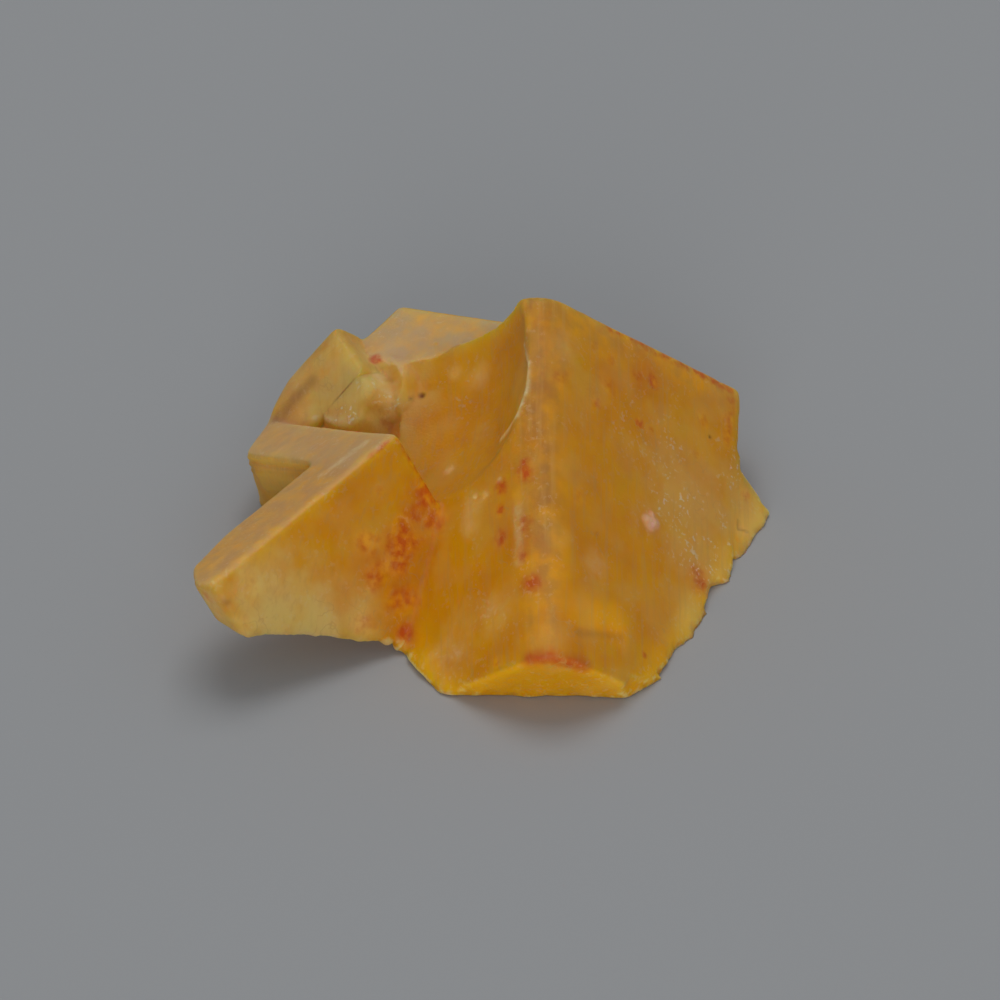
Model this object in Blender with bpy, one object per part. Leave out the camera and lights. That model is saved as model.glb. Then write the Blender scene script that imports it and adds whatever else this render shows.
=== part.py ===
"""Fluorite specimen: cubes grown through each other, broken off level underneath, one solid.

A large cube leans back so that its rounded front edge runs down like the ridge of a roof. Two
crossing plates, a leaning slab, a block behind and a small corner grow out of its sides. Every
crystal is a block turned about its best corner, with extra planes cut off where a face or a
break ends it. The blocks are joined by Boolean union. Then a wide hollow in the large cube's
left face, small corners along its foot and a shell-shaped break under the front plate are cut
out, and the underside is cut level, so that the piece rests on a flat face.

Working frame while modelling: millimetres, +X right, +Y back, +Z up, with the large cube's peak
above the origin and the surface that the piece rests on at Z = 0. The finished mesh is moved so
that its origin is at the bottom centre of its box, and scaled to metres.
"""

from __future__ import annotations

import math
from dataclasses import dataclass

import bmesh
import bpy
from mathutils import Matrix, Vector, noise

MM = 0.001
NAME = "fluorite_cluster"

# Driving dimensions, mm. The large cube's peak is where its three best faces meet. The hollow is
# given by its centre and radii along the large cube's own axes.
PEAK_HEIGHT = 18.0
RIDGE_LENGTH = 25.1
RIGHT_EDGE_LENGTH = 19.8
LEFT_EDGE_LENGTH = 13.2
RIDGE_ROUNDING = 2.3
LEDGE_DROP = 1.2
HOLLOW_CENTRE = (8.4, -7.5, -4.0)
HOLLOW_RADII = (11.0, 10.2, 13.0)
PLATE_LENGTH = 16.2
PLATE_THICKNESS = 5.6
CROSS_LENGTH = 15.8
CROSS_THICKNESS = 3.8
SLAB_WIDTH = 4.9
SLAB_THICKNESS = 3.4
BLOCK_WIDTH = 5.7
ROOT = 13.0

Span = tuple[float, float]
Triple = tuple[float, float, float]


@dataclass(frozen=True)
class Crystal:
    """A block with square corners, measured from its best corner along its own three axes.

    corner: where that corner stands in the working frame, mm.
    turns: heading, lean and turn in degrees; the block is turned about its own Z, leant about
        X, then headed about the world's Z.
    spans: lowest and highest value along its own X, Y and Z, mm.
    facets: a point and an outward normal for each extra plane that ends it, own axes, mm.
    soft: width of its softened edges, mm.
    ridge: wider rounding of the edge along Z at X = Y = 0, mm, or zero.
    """

    corner: Triple
    turns: Triple
    spans: tuple[Span, Span, Span]
    facets: tuple[tuple[Triple, Triple], ...] = ()
    soft: float = 0.35
    ridge: float = 0.0

    def matrix(self) -> Matrix:
        """Return the transform from the block's own axes to the working frame."""
        heading, lean, turn = (math.radians(angle) for angle in self.turns)
        rotation = Matrix.Rotation(heading, 4, "Z") @ Matrix.Rotation(lean, 4, "X")
        return Matrix.Translation(self.corner) @ rotation @ Matrix.Rotation(turn, 4, "Z")


@dataclass(frozen=True)
class Break:
    """A shell-shaped broken surface, cut out of the union.

    centre: middle of the broken surface in the working frame, mm.
    outward: direction that the surface faces.
    size: its width and height, mm.
    bow: how far its middle is hollowed below its rim, mm.
    ripple: height of the curved ribs that spread from one side, mm.
    rib: distance from one rib to the next, mm.
    seed: picks the uneven part.
    """

    centre: Triple
    outward: Triple
    size: tuple[float, float]
    bow: float = 0.5
    ripple: float = 0.08
    rib: float = 1.3
    seed: int = 0


# The large cube: own X is its left face, own Y its right face, own Z its back face.
MAIN_PEAK = (0.29, 0.77, PEAK_HEIGHT)
MAIN_TURNS = (180.0, 63.1, 46.0)
MAIN = Crystal(
    corner=MAIN_PEAK,
    turns=MAIN_TURNS,
    spans=((-RIGHT_EDGE_LENGTH, 0.0), (-LEFT_EDGE_LENGTH, 0.0), (-RIDGE_LENGTH, 0.0)),
    facets=(
        ((0.0, 0.0, -7.0), (1.0, 0.0, -0.06)),
        ((0.2 - RIGHT_EDGE_LENGTH, 0.0, -1.0), (-1.0, 0.0, -0.1)),
    ),
    soft=0.45,
    ridge=RIDGE_ROUNDING,
)
# A lower step of the same cube, at the left end of its left face.
LEDGE = Crystal(
    corner=MAIN_PEAK,
    turns=MAIN_TURNS,
    spans=((-14.0, -LEDGE_DROP), (-18.3, -LEFT_EDGE_LENGTH + 1.5), (-20.0, -LEDGE_DROP)),
)
# Two plates cross at the left. Own X points to the left tip, own Y is the front face and own Z
# the top face. The second plate is turned from the first by two and a half degrees.
PLATE_CORNER = (-8.56, -6.35, 11.86)
PLATE_TURNS = (-114.3, 31.9, -25.0)
FRONT_PLATE = Crystal(
    corner=PLATE_CORNER,
    turns=PLATE_TURNS,
    spans=((0.0, PLATE_LENGTH), (-PLATE_THICKNESS, 0.0), (-20.0, 0.0)),
    facets=(
        ((PLATE_LENGTH, -2.4, 0.0), (0.87, -0.49, 0.0)),
        ((14.9, -4.7, 0.0), (0.26, -0.97, 0.0)),
        ((8.6, 0.0, -10.4), (0.525, -0.43, -0.735)),
    ),
)
PLATE_FOOT = Crystal(
    corner=PLATE_CORNER, turns=(-111.8, 30.4, -26.2), spans=((1.0, 7.6), (-4.6, 0.06), (-18.0, -7.3))
)
CROSS_PLATE = Crystal(
    corner=PLATE_CORNER,
    turns=(-112.2, 29.7, -26.8),
    spans=((0.12, CROSS_THICKNESS), (-CROSS_LENGTH - 3.0, -0.3), (-ROOT, -0.05)),
    facets=(((0.0, -CROSS_LENGTH, 0.0), (0.42, -0.79, 0.38)),),
)
# Growth steps: thin layers on the faces of the plates, each turned a little from its host.
PLATE_STEPS = (
    Crystal(PLATE_CORNER, (-112.0, 29.9, -26.6), ((1.4, 4.0), (-13.6, -3.5), (-3.0, -1.2)), soft=0.12),
    Crystal(PLATE_CORNER, (-112.5, 29.4, -26.9), ((2.0, 4.2), (-12.8, -4.5), (-2.5, -1.8)), soft=0.12),
)
# Layers on the back face of the large cube, and three small cubes low behind.
BACK_STEPS = (
    Crystal(MAIN_PEAK, (180.6, 63.1, 46.0), ((-15.5, -3.0), (-10.2, -4.0), (-6.0, 0.32)), soft=0.2),
    Crystal(MAIN_PEAK, (179.5, 62.7, 46.3), ((-12.0, -5.2), (-8.6, -5.0), (-6.0, 0.62)), soft=0.2),
    Crystal((8.5, 9.7, 3.9), (20.0, 35.0, 45.0), ((-5.0, 0.0), (-5.2, 0.0), (-7.0, 0.0)), soft=0.25),
    Crystal((2.0, 9.7, 2.9), (-25.0, 30.0, 47.0), ((-3.6, 0.0), (-3.8, 0.0), (-6.0, 0.0)), soft=0.25),
    Crystal((-7.2, 8.4, 5.1), (24.0, 9.0, 8.0), ((-9.3, 0.0), (-10.0, 0.0), (-9.0, 0.0)), soft=0.3),
)
# The leaning slab behind them: own Y is its front face and own Z its pale right face.
SLAB = Crystal(
    corner=(-13.25, 7.6, 10.6),
    turns=(108.3, 43.3, 14.8),
    spans=((-SLAB_WIDTH, 0.0), (-SLAB_THICKNESS, 0.0), (-9.3, 0.0)),
    facets=(((-1.3, 0.0, 0.0), (0.5, 0.866, 0.0)), ((0.0, 0.0, -5.1), (0.85, 0.0, -0.53))),
)
# The block at the back: own Z is its nearly level top.
BACK_BLOCK = Crystal(
    corner=(-8.76, 10.88, 9.72),
    turns=(-84.3, 17.6, 141.5),
    spans=((-BLOCK_WIDTH, 0.0), (-13.0, 1.2), (-ROOT, 0.0)),
    facets=(((0.0, 0.0, 0.0), (0.168, 0.986, 0.0)),),
)
# The small corner at the lower right: own Z lies almost in the large cube's right face.
SMALL_CORNER = Crystal(
    corner=(15.82, 0.53, 0.12), turns=(62.5, 49.0, -86.6), spans=((-6.0, 0.0), (-5.6, 0.0), (-4.0, 0.0))
)

# Small corners broken out along the foot, cut away from the union.
NOTCHES = (
    Crystal((12.58, -5.6, 0.0), (-60.0, 12.0, 0.0), ((0.0, 1.6), (0.0, 1.3), (-2.0, 3.0)), soft=0.1),
    Crystal((11.24, -7.17, 0.0), (-65.0, -9.0, 0.0), ((0.0, 2.0), (0.0, 2.2), (-2.0, 3.0)), soft=0.1),
    Crystal((10.92, -9.7, 0.0), (-8.0, 7.0, 0.0), ((0.0, 2.5), (0.0, 2.5), (-2.0, 3.0)), soft=0.1),
    Crystal((9.52, -13.0, 0.0), (-42.0, -8.0, 0.0), ((0.0, 2.5), (0.0, 2.2), (-2.0, 3.0)), soft=0.1),
    Crystal((7.9, -16.0, 0.0), (-28.0, 10.0, 0.0), ((0.0, 2.5), (-0.3, 3.2), (-2.0, 3.0)), soft=0.1),
    Crystal((6.2, -18.1, 0.0), (-50.0, -10.0, 0.0), ((0.0, 3.0), (-1.0, 3.0), (-2.0, 3.0)), soft=0.1),
)

# The shell-shaped break on the underside of the front plate.
UNDER_BREAK = Break((-16.4, -16.0, 3.6), (-0.24, -0.216, -0.946), (11.0, 11.0), 0.5, seed=3)

AMBER = (0.55, 0.27, 0.045, 1.0)
REFRACTIVE_INDEX = 1.434


def clear_scene() -> None:
    """Remove every object from the scene."""
    for thing in list(bpy.data.objects):
        bpy.data.objects.remove(thing, do_unlink=True)


def new_object(name: str, bm: bmesh.types.BMesh) -> bpy.types.Object:
    """Put a bmesh into a new object in the scene."""
    bm.normal_update()
    bmesh.ops.recalc_face_normals(bm, faces=bm.faces)
    mesh = bpy.data.meshes.new(name)
    bm.to_mesh(mesh)
    bm.free()
    thing = bpy.data.objects.new(name, mesh)
    bpy.context.collection.objects.link(thing)
    return thing


def block_bmesh(spans: tuple[Span, Span, Span]) -> bmesh.types.BMesh:
    """Return a box between the given lowest and highest values."""
    bm = bmesh.new()
    bmesh.ops.create_cube(bm, size=1.0)
    for vert in bm.verts:
        for axis, (low, high) in enumerate(spans):
            vert.co[axis] = high if vert.co[axis] > 0.0 else low
    return bm


def cut_plane(bm: bmesh.types.BMesh, point: Triple, normal: Triple) -> None:
    """Cut away what lies beyond a plane and close the cut with one face."""
    everything = bm.verts[:] + bm.edges[:] + bm.faces[:]
    made = bmesh.ops.bisect_plane(
        bm, geom=everything, plane_co=point, plane_no=normal, clear_outer=True
    )
    rim = [item for item in made["geom_cut"] if isinstance(item, bmesh.types.BMEdge)]
    bmesh.ops.contextual_create(bm, geom=rim)


def crystal_object(name: str, crystal: Crystal) -> bpy.types.Object:
    """Return a crystal with softened edges, turned into the working frame."""
    bm = block_bmesh(crystal.spans)
    for point, normal in crystal.facets:
        cut_plane(bm, point, normal)
    if crystal.ridge:
        on_ridge = [e for e in bm.edges if all(Vector(v.co[:2]).length < 2.0 for v in e.verts)]
        bmesh.ops.bevel(
            bm, geom=on_ridge, offset=crystal.ridge, segments=4, profile=0.5, affect="EDGES"
        )
    bm.normal_update()
    bmesh.ops.recalc_face_normals(bm, faces=bm.faces)
    sharp = [edge for edge in bm.edges if edge.calc_face_angle(0.0) > math.radians(28.0)]
    bmesh.ops.bevel(bm, geom=sharp, offset=crystal.soft, segments=2, profile=0.5, affect="EDGES")
    bm.transform(crystal.matrix())
    return new_object(name, bm)


def break_object(name: str, scar: Break) -> bpy.types.Object:
    """Return the cutter of a broken surface: a grid bent into a hollow, and all that lies beyond."""
    bm = bmesh.new()
    cells = 16
    bmesh.ops.create_grid(bm, x_segments=cells, y_segments=cells, size=0.5)
    width, height = scar.size
    offset = Vector((scar.seed * 17.3, scar.seed * 5.1, 0.0))
    for vert in bm.verts:
        x, y = vert.co.x * width, vert.co.y * height
        hollow = scar.bow * (4.0 * (vert.co.x**2 + vert.co.y**2) - 0.6)
        ribs = scar.ripple * math.cos(2.0 * math.pi * math.hypot(x - width / 2, y) / scar.rib)
        uneven = 0.5 * scar.bow * noise.noise(Vector((x, y, 0.0)) * 0.35 + offset)
        vert.co = (x, y, hollow + ribs + uneven)
    made = bmesh.ops.extrude_face_region(bm, geom=bm.faces[:])
    for item in made["geom"]:
        if isinstance(item, bmesh.types.BMVert):
            item.co.z = 12.0
    turned = Vector(scar.outward).to_track_quat("Z", "Y").to_matrix().to_4x4()
    bm.transform(Matrix.Translation(scar.centre) @ turned)
    return new_object(name, bm)


def hollow_object(crystal: Crystal) -> bpy.types.Object:
    """Return the ellipsoid that scoops the hollow out of a crystal's face."""
    bm = bmesh.new()
    bmesh.ops.create_icosphere(bm, subdivisions=5, radius=1.0)
    for vert in bm.verts:
        waves = 1.0 + 0.006 * noise.noise(vert.co * 9.0)
        for axis in range(3):
            vert.co[axis] = HOLLOW_CENTRE[axis] + vert.co[axis] * waves * HOLLOW_RADII[axis]
    bm.transform(crystal.matrix())
    return new_object("hollow", bm)


def combine(target: bpy.types.Object, tool: bpy.types.Object, operation: str) -> None:
    """Join a tool to the target, or cut it out, and remove the tool."""
    modifier = target.modifiers.new(operation.title(), "BOOLEAN")
    modifier.operation = operation
    modifier.solver = "EXACT"
    modifier.object = tool
    graph = bpy.context.evaluated_depsgraph_get()
    mesh = bpy.data.meshes.new_from_object(target.evaluated_get(graph))
    target.modifiers.clear()
    target.data = mesh
    bpy.data.objects.remove(tool, do_unlink=True)


def level_underside(target: bpy.types.Object) -> None:
    """Cut away everything below Z = 0."""
    reach = 60.0
    below = block_bmesh(((-reach, reach), (-reach, reach), (-reach, 0.0)))
    combine(target, new_object("below", below), "DIFFERENCE")


def centre_in_metres(target: bpy.types.Object) -> None:
    """Move the mesh so that its origin is the bottom centre of its box, and scale it to metres."""
    points = [vert.co for vert in target.data.vertices]
    low = Vector(min(point[axis] for point in points) for axis in range(3))
    high = Vector(max(point[axis] for point in points) for axis in range(3))
    middle = Vector(((low.x + high.x) / 2.0, (low.y + high.y) / 2.0, low.z))
    target.data.transform(Matrix.Scale(MM, 4) @ Matrix.Translation(-middle))


def fluorite_material() -> bpy.types.Material:
    """Return the clouded amber of the crystals."""
    material = bpy.data.materials.new("amber_fluorite")
    material.use_nodes = True
    shader = material.node_tree.nodes["Principled BSDF"]
    shader.inputs["Base Color"].default_value = AMBER
    shader.inputs["Roughness"].default_value = 0.38
    shader.inputs["IOR"].default_value = REFRACTIVE_INDEX
    return material


def main() -> None:
    """Build the cluster."""
    clear_scene()
    cluster = crystal_object(NAME, MAIN)
    combine(cluster, crystal_object("ledge", LEDGE), "UNION")
    combine(cluster, crystal_object("back_block", BACK_BLOCK), "UNION")
    combine(cluster, hollow_object(MAIN), "DIFFERENCE")
    for name, crystal in (
        ("front_plate", FRONT_PLATE),
        ("plate_foot", PLATE_FOOT),
        ("cross_plate", CROSS_PLATE),
        ("slab", SLAB),
        ("small_corner", SMALL_CORNER),
    ):
        combine(cluster, crystal_object(name, crystal), "UNION")
    for step in PLATE_STEPS + BACK_STEPS:
        combine(cluster, crystal_object("step", step), "UNION")
    for notch in NOTCHES:
        combine(cluster, crystal_object("notch", notch), "DIFFERENCE")
    combine(cluster, break_object("break", UNDER_BREAK), "DIFFERENCE")
    level_underside(cluster)
    centre_in_metres(cluster)
    cluster.data.materials.clear()
    cluster.data.materials.append(fluorite_material())


main()
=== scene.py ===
"""Amber fluorite cluster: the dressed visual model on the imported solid.

Units are millimetres while shapes are worked out and metres in the meshes. The frame's origin is
the bottom centre of the solid's box, +X right, +Y back, +Z up.
"""

from __future__ import annotations

import logging
import math
from dataclasses import dataclass
from enum import Enum

import bmesh
import bpy
import numpy as np
from mathutils import Matrix, Vector


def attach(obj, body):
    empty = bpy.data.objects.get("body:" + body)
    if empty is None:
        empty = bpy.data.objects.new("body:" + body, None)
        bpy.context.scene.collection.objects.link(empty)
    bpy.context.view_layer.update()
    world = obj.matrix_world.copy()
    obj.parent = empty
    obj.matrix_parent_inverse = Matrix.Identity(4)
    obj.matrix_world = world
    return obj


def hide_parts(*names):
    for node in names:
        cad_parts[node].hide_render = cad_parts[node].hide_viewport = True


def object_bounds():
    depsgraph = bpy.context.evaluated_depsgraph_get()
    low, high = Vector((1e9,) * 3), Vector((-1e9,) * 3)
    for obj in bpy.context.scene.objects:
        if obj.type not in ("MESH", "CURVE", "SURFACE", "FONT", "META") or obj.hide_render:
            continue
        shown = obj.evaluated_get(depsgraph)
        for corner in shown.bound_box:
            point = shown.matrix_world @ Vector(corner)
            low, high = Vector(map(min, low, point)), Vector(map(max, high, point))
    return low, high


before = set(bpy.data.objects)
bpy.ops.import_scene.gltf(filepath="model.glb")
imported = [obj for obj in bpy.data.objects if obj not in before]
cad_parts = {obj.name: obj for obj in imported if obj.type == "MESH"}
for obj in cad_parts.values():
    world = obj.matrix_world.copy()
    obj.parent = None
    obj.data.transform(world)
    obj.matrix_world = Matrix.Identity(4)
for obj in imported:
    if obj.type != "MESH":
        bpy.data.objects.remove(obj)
CAD_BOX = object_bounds()

Array = np.ndarray
Pair = tuple[float, float]
Triple = tuple[float, float, float]
Mesh = bpy.types.Mesh
Object = bpy.types.Object
Tree = bpy.types.NodeTree
Socket = bpy.types.NodeSocket
Sockets = dict[int | str, object]
Spot = tuple[float, float, float, float, float]

NODE = "fluorite_cluster"
MM = 0.001
log = logging.getLogger("fluorite")


# --- Arithmetic on whole arrays ---

# What hashes a lattice corner into its value, and how far a seed shifts the lattice, in cells.
HASH_STEPS = (0x9E3779B97F4A7C15, 0xC2B2AE3D27D4EB4F, 0x165667B19E3779F9)
HASH_SEED = 2654435761
HASH_MIX = 0xBF58476D1CE4E5B9
HASH_BITS = 0xFFFFFF
SEED_SHIFT = 71.3

# Layered noise: how many layers it has, and how far apart their seeds are.
NOISE_LAYERS = 3
LAYER_SEED = 31

# The cosine of 45 degrees.
HALF_ROOT = 0.7071


def smoothstep(low: float, high: float, value: Array) -> Array:
    """Rise from 0 at low to 1 at high along 3t^2 - 2t^3."""
    t = np.clip((value - low) / (high - low), 0.0, 1.0)
    return t * t * (3.0 - 2.0 * t)


def lattice_noise(points: Array, cell: float, seed: int) -> Array:
    """Smooth noise from -1 to 1.

    Each corner of a cubic lattice has a value hashed from its three whole numbers. A point takes
    the average of the eight corners round it, weighted by 3t^2 - 2t^3 along each axis.

    Args:
        points: n by 3 places, mm.
        cell: the lattice spacing, mm.
        seed: picks the values.

    Returns:
        One value for each point.
    """
    scaled = points / cell + SEED_SHIFT * seed
    base = np.floor(scaled)
    weight = smoothstep(0.0, 1.0, scaled - base)
    whole = base.astype(np.int64).astype(np.uint64)
    total = np.zeros(len(points))
    for corner in np.ndindex(2, 2, 2):
        mixed = np.full(len(points), seed * HASH_SEED + 1, dtype=np.uint64)
        for axis, step in enumerate(HASH_STEPS):
            mixed += (whole[:, axis] + np.uint64(corner[axis])) * np.uint64(step)
        mixed ^= mixed >> np.uint64(29)
        mixed *= np.uint64(HASH_MIX)
        mixed ^= mixed >> np.uint64(32)
        value = (mixed & np.uint64(HASH_BITS)).astype(float) / float(HASH_BITS >> 1) - 1.0
        share = np.ones(len(points))
        for axis in range(3):
            share *= weight[:, axis] if corner[axis] else 1.0 - weight[:, axis]
        total += value * share
    return total


def layered_noise(points: Array, cell: float, seed: int) -> Array:
    """Noise plus finer copies of itself, each half as wide and half as high, from -1 to 1."""
    shares = [0.5**layer for layer in range(NOISE_LAYERS)]
    total = np.zeros(len(points))
    for layer, share in enumerate(shares):
        total += share * lattice_noise(points, cell * share, seed + LAYER_SEED * layer)
    return total / sum(shares)


def gap_to(points: Array, place: Triple) -> Array:
    """Distance from each point to a place, mm."""
    return np.linalg.norm(points - np.array(place), axis=1)


def near_line(points: Array, line: tuple[Triple, ...]) -> Array:
    """Distance from each point to the nearest place on a line of straight lengths, mm."""
    nearest = np.full(len(points), np.inf)
    for start, end in zip(line[:-1], line[1:]):
        first = np.array(start)
        along = np.array(end) - first
        share = np.clip((points - first) @ along / (along @ along), 0.0, 1.0)
        gap = np.linalg.norm(points - first - share[:, None] * along, axis=1)
        nearest = np.minimum(nearest, gap)
    return nearest


def neighbour_mean(mesh: Mesh, points: Array) -> Array:
    """Return, for each point, the mean of the points that an edge joins it to.

    Args:
        mesh: whose edges join them.
        points: the mesh's points, mm.

    Returns:
        n by 3 places.
    """
    ends = np.empty(len(mesh.edges) * 2, dtype=np.int32)
    mesh.edges.foreach_get("vertices", ends)
    first, second = ends.reshape(-1, 2).T
    both = np.concatenate([first, second])
    other = np.concatenate([second, first])
    count = len(points)
    degree = np.maximum(np.bincount(both, minlength=count), 1)
    sums = [np.bincount(both, points[other, axis], count) for axis in range(3)]
    return np.stack(sums, 1) / degree[:, None]


def relax(mesh: Mesh, points: Array, share: Array, rounds: int) -> Array:
    """Move each point by its own share of the way to its neighbours' mean, round after round.

    Args:
        mesh: whose edges make neighbours.
        points: the mesh's points, mm.
        share: n by 1, from 0 to 1.
        rounds: how many times.

    Returns:
        The points' new places.
    """
    for _ in range(rounds):
        points = points + share * (neighbour_mean(mesh, points) - points)
    return points


# --- The crystals' own axes, and the marks on them ---

# How far outside a face's edge its share is gone, and how far inside it is whole, mm.
EDGE_OUTSIDE = 0.5
EDGE_INSIDE = 0.1


@dataclass(frozen=True)
class Crystal:
    """A crystal's own axes: its best corner, how it is turned, and how far it reaches.

    corner: where that corner stands, mm.
    turns: heading, lean and turn, degrees.
    spans: lowest and highest value along its own X, Y and Z, mm.
    """

    corner: Triple
    turns: Triple
    spans: tuple[Pair, Pair, Pair]

    def rotation(self) -> Array:
        """Turn about Z, lean about X, then head about Z, as one 3 by 3 matrix."""
        heading, lean, turn = np.radians(self.turns)

        def about_z(angle: float) -> Array:
            """Return the matrix of a turn about Z."""
            c, s = math.cos(angle), math.sin(angle)
            return np.array([[c, -s, 0.0], [s, c, 0.0], [0.0, 0.0, 1.0]])

        c, s = math.cos(lean), math.sin(lean)
        leant = np.array([[1.0, 0.0, 0.0], [0.0, c, -s], [0.0, s, c]])
        return about_z(heading) @ leant @ about_z(turn)

    def local(self, points: Array) -> Array:
        """Return points measured from the corner along the crystal's own axes, mm."""
        return (points - np.array(self.corner)) @ self.rotation()


@dataclass(frozen=True)
class Face:
    """A flat face of a crystal.

    crystal: whose face it is.
    axis: the own axis that it is square to, 0 to 2.
    high: True for the face at that axis's highest value, False for the lowest.
    """

    crystal: Crystal
    axis: int
    high: bool = True

    def share(
        self, points: Array, normals: Array, depth: float = 0.5, turned: Pair = (0.4, 0.8)
    ) -> Array:
        """Return 1 on the face, falling to 0 off it and where the surface turns away.

        Args:
            points: n by 3 places, mm.
            normals: the outward normals there.
            depth: how far off the face's plane it is still whole, mm.
            turned: the dot products of the two normals where it begins and where it is whole.

        Returns:
            One value for each point.
        """
        local = self.crystal.local(points)
        low, high = self.crystal.spans[self.axis]
        off = np.abs(local[:, self.axis] - (high if self.high else low))
        facing = normals @ self.crystal.rotation()[:, self.axis] * (1.0 if self.high else -1.0)
        share = smoothstep(2.0 * depth, depth, off) * smoothstep(*turned, facing)
        for axis in {0, 1, 2} - {self.axis}:
            low, high = self.crystal.spans[axis]
            above = smoothstep(low - EDGE_OUTSIDE, low + EDGE_INSIDE, local[:, axis])
            share *= above * smoothstep(high + EDGE_OUTSIDE, high - EDGE_INSIDE, local[:, axis])
        return share


LARGE_CUBE = Crystal(
    corner=(3.145, 5.02, 18.0),
    turns=(180.0, 63.1, 46.0),
    spans=((-19.8, 0.0), (-13.2, 0.0), (-25.1, 0.0)),
)
FRONT_PLATE = Crystal(
    corner=(-5.705, -2.10, 11.86),
    turns=(-114.3, 31.9, -25.0),
    spans=((0.0, 16.2), (-5.6, 0.0), (-20.0, 0.0)),
)
CROSS_PLATE = Crystal(
    corner=(-5.705, -2.10, 11.86),
    turns=(-112.2, 29.7, -26.8),
    spans=((0.12, 3.8), (-18.8, -0.3), (-13.0, -0.05)),
)
SLAB = Crystal(
    corner=(-10.395, 11.85, 10.6),
    turns=(108.3, 43.3, 14.8),
    spans=((-4.9, 0.0), (-3.4, 0.0), (-9.3, 0.0)),
)
BACK_BLOCK = Crystal(
    corner=(-5.905, 15.13, 9.72),
    turns=(-84.3, 17.6, 141.5),
    spans=((-5.7, 0.0), (-13.0, 1.2), (-13.0, 0.0)),
)


class Mark(Enum):
    """What a mark on the stone is: each is an attribute that the material reads. Glow and sparkle
    are painted light, straw mostly is, and two of the white lines are painted highlights.
    """

    RUST = "rust"
    STAIN = "stain"
    MILK_AND_GLINT = "milk_and_glint"
    PIT = "pit"
    GRAIN = "grain"
    SPARKLE = "sparkle"
    STRAW = "straw"
    GLOW = "glow"
    SHADE = "shade"
    CLEAR = "clear"


@dataclass(frozen=True)
class Streak:
    """A mark along a line of straight lengths.

    width: its half width, mm.
    strength: from 0 to 1.
    line: the places where the lengths meet, mm.
    """

    width: float
    strength: float
    line: tuple[Triple, ...]


@dataclass(frozen=True)
class Fill:
    """Low ground that is filled, out along one of a crystal's axes.

    centre: the middle of the filled ground, mm.
    radius: how far it reaches from there, mm.
    crystal: whose axis it is.
    axis: which one, 0 to 2.
    level: how far along it the filled ground comes, mm.
    """

    centre: Triple
    radius: float
    crystal: Crystal
    axis: int
    level: float


# The lip of the hollow in the large cube, from low to high, mm.
HOLLOW_LIP: tuple[Triple, ...] = (
    (0.75, -1.02, 10.38),
    (1.26, -1.04, 11.17),
    (1.82, -1.78, 12.88),
    (2.39, -0.57, 13.94),
    (2.52, 0.99, 14.76),
    (2.27, 3.15, 14.78),
)

# The low ground that is filled: behind and beside the slab, and round the small corner.
FILLS = (
    Fill((-6.5, 8.2, 7.7), 2.6, LARGE_CUBE, 0, -0.3),
    Fill((-8.4, 6.9, 5.4), 2.6, SLAB, 1, -0.6),
    Fill((-8.7, 7.2, 7.6), 2.7, SLAB, 1, -0.01),
    Fill((16.2, 4.6, 2.6), 3.0, LARGE_CUBE, 1, -0.05),
)

# The ground that is evened out after it is filled: its middle and radius, mm.
SETTLED: tuple[Triple, float] = ((-8.3, 7.3, 7.9), 2.5)

# The hollow's back rim, worn down: centre, radius and depth, mm.
WORN_RIM: tuple[Triple, float, float] = ((-4.6, 8.8, 9.8), 3.4, 0.5)

# Small lobes: x, y, z, radius and height, mm.
LOBES = (
    (-5.5, -9.4, 0.5, 0.55, 0.4),
    (-6.3, -9.8, 0.9, 0.5, 0.35),
    (-8.4, -10.6, 1.2, 0.6, 0.25),
    (-4.9, -10.4, 0.4, 0.6, 0.3),
    (-4.3, -11.5, 0.6, 1.5, 0.45),
)

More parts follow.
